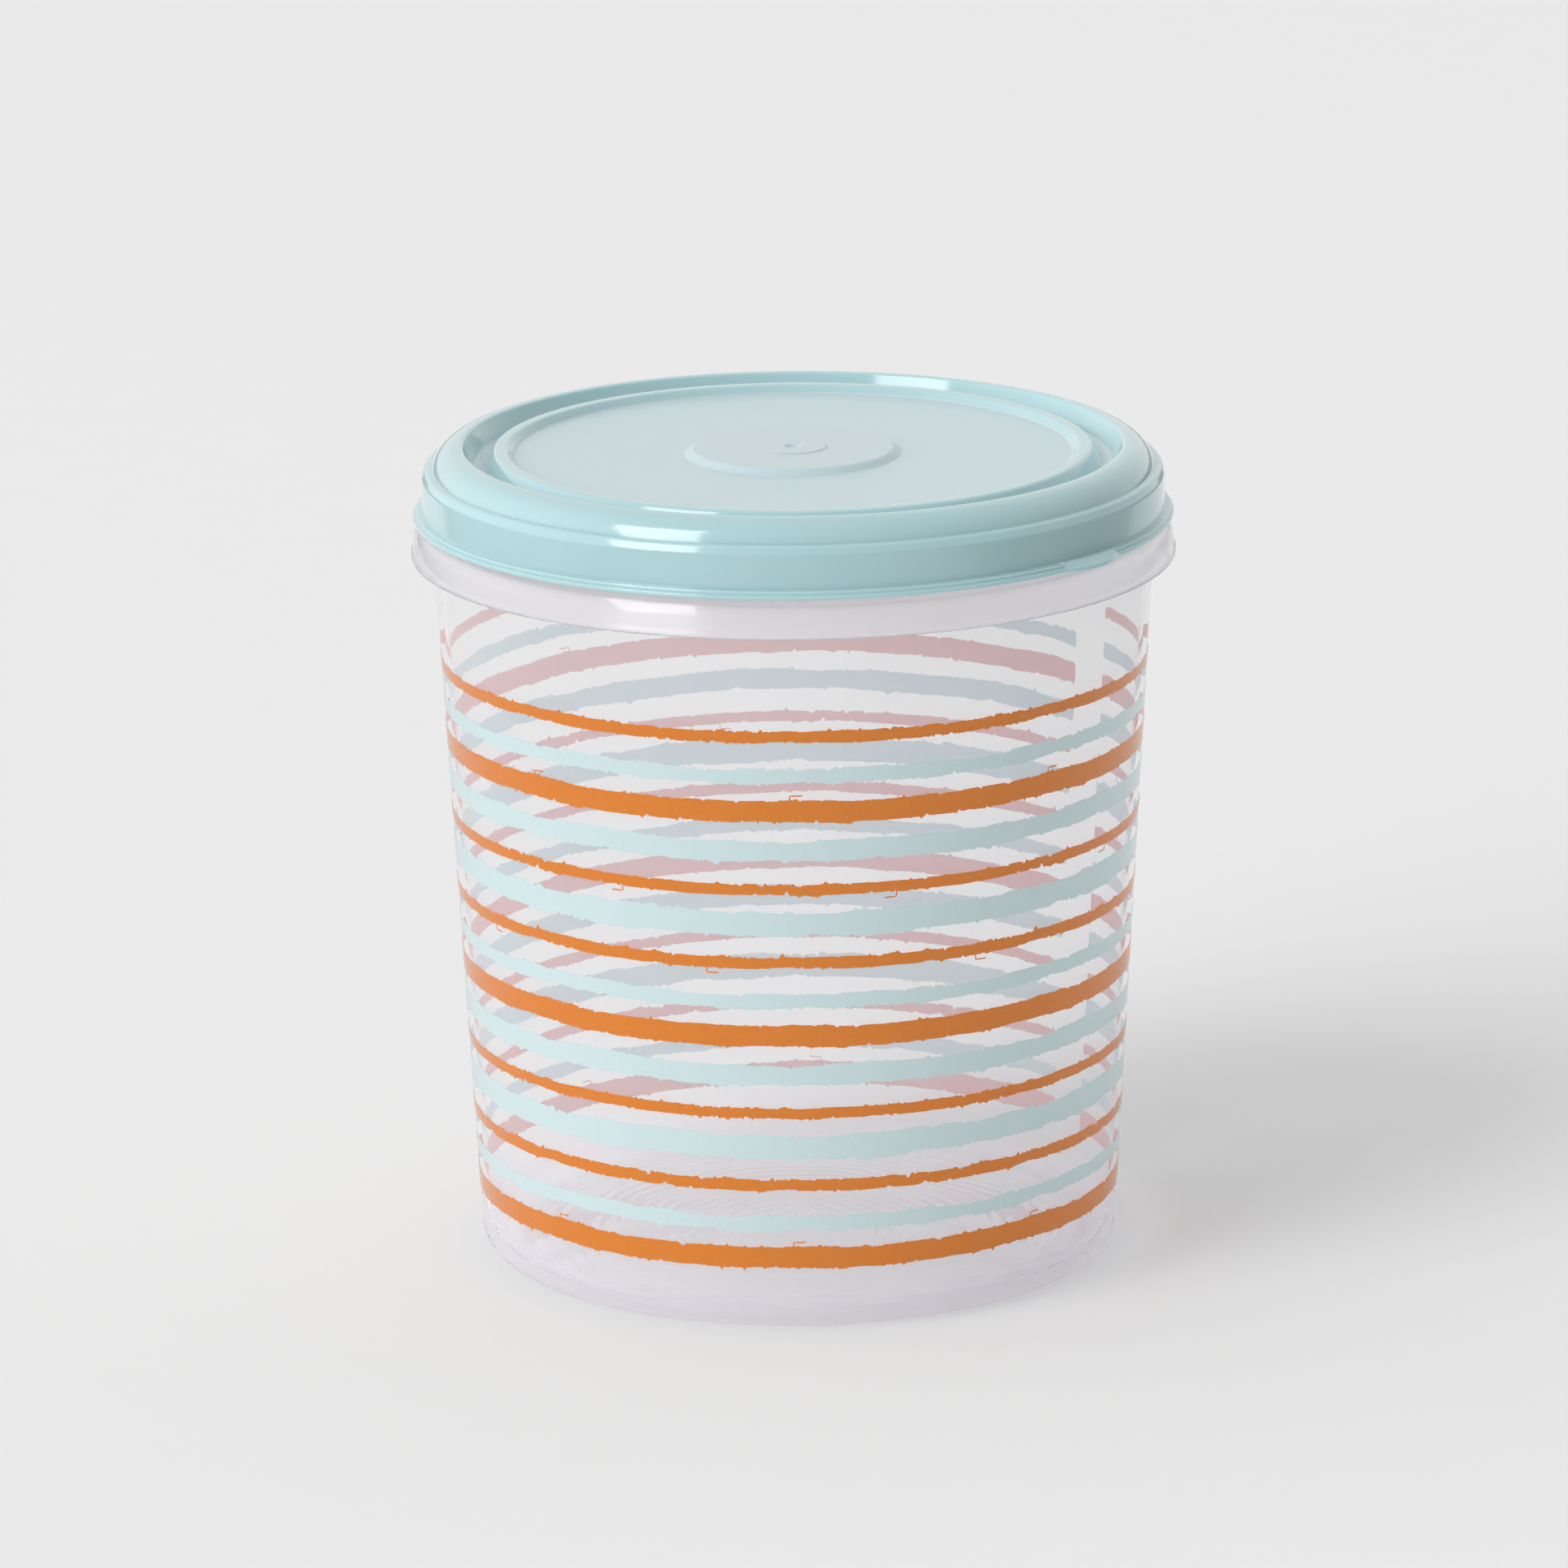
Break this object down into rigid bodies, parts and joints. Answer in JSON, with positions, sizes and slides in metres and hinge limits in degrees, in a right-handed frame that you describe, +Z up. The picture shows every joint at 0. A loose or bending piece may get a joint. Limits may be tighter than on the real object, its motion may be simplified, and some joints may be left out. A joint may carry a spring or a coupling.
{
  "type": "food canister",
  "caption": "Round clear canister for food, with a tapered tub printed with stripes, a hanging collar, and a lid that snaps over the rim and lifts off.",
  "frame": {"origin": "centre of the foot ring, on the surface that the canister stands on", "axes": "+Z up along the axis that tub and lid are turned about, -Y towards the front of the picture, +X to its right"},
  "size_m": [0.1408, 0.1408, 0.1526],
  "materials": {
    "clear_plastic": "clear gloss with a faint lavender haze",
    "lid_plastic": "pale aqua, gloss, with a satin panel on top",
    "orange_ink": "opaque printed ink, soft gloss",
    "aqua_ink": "opaque printed ink, soft gloss"
  },
  "bodies": {
    "tub": {"tub": "clear_plastic"},
    "lid": {"lid": "lid_plastic"}
  },
  "joints": [
    {"name": "lid_lift", "type": "slide", "parent": "tub", "child": "lid", "axis": [0, 0, 1], "range_m": [0, 0.06]}
  ]
}
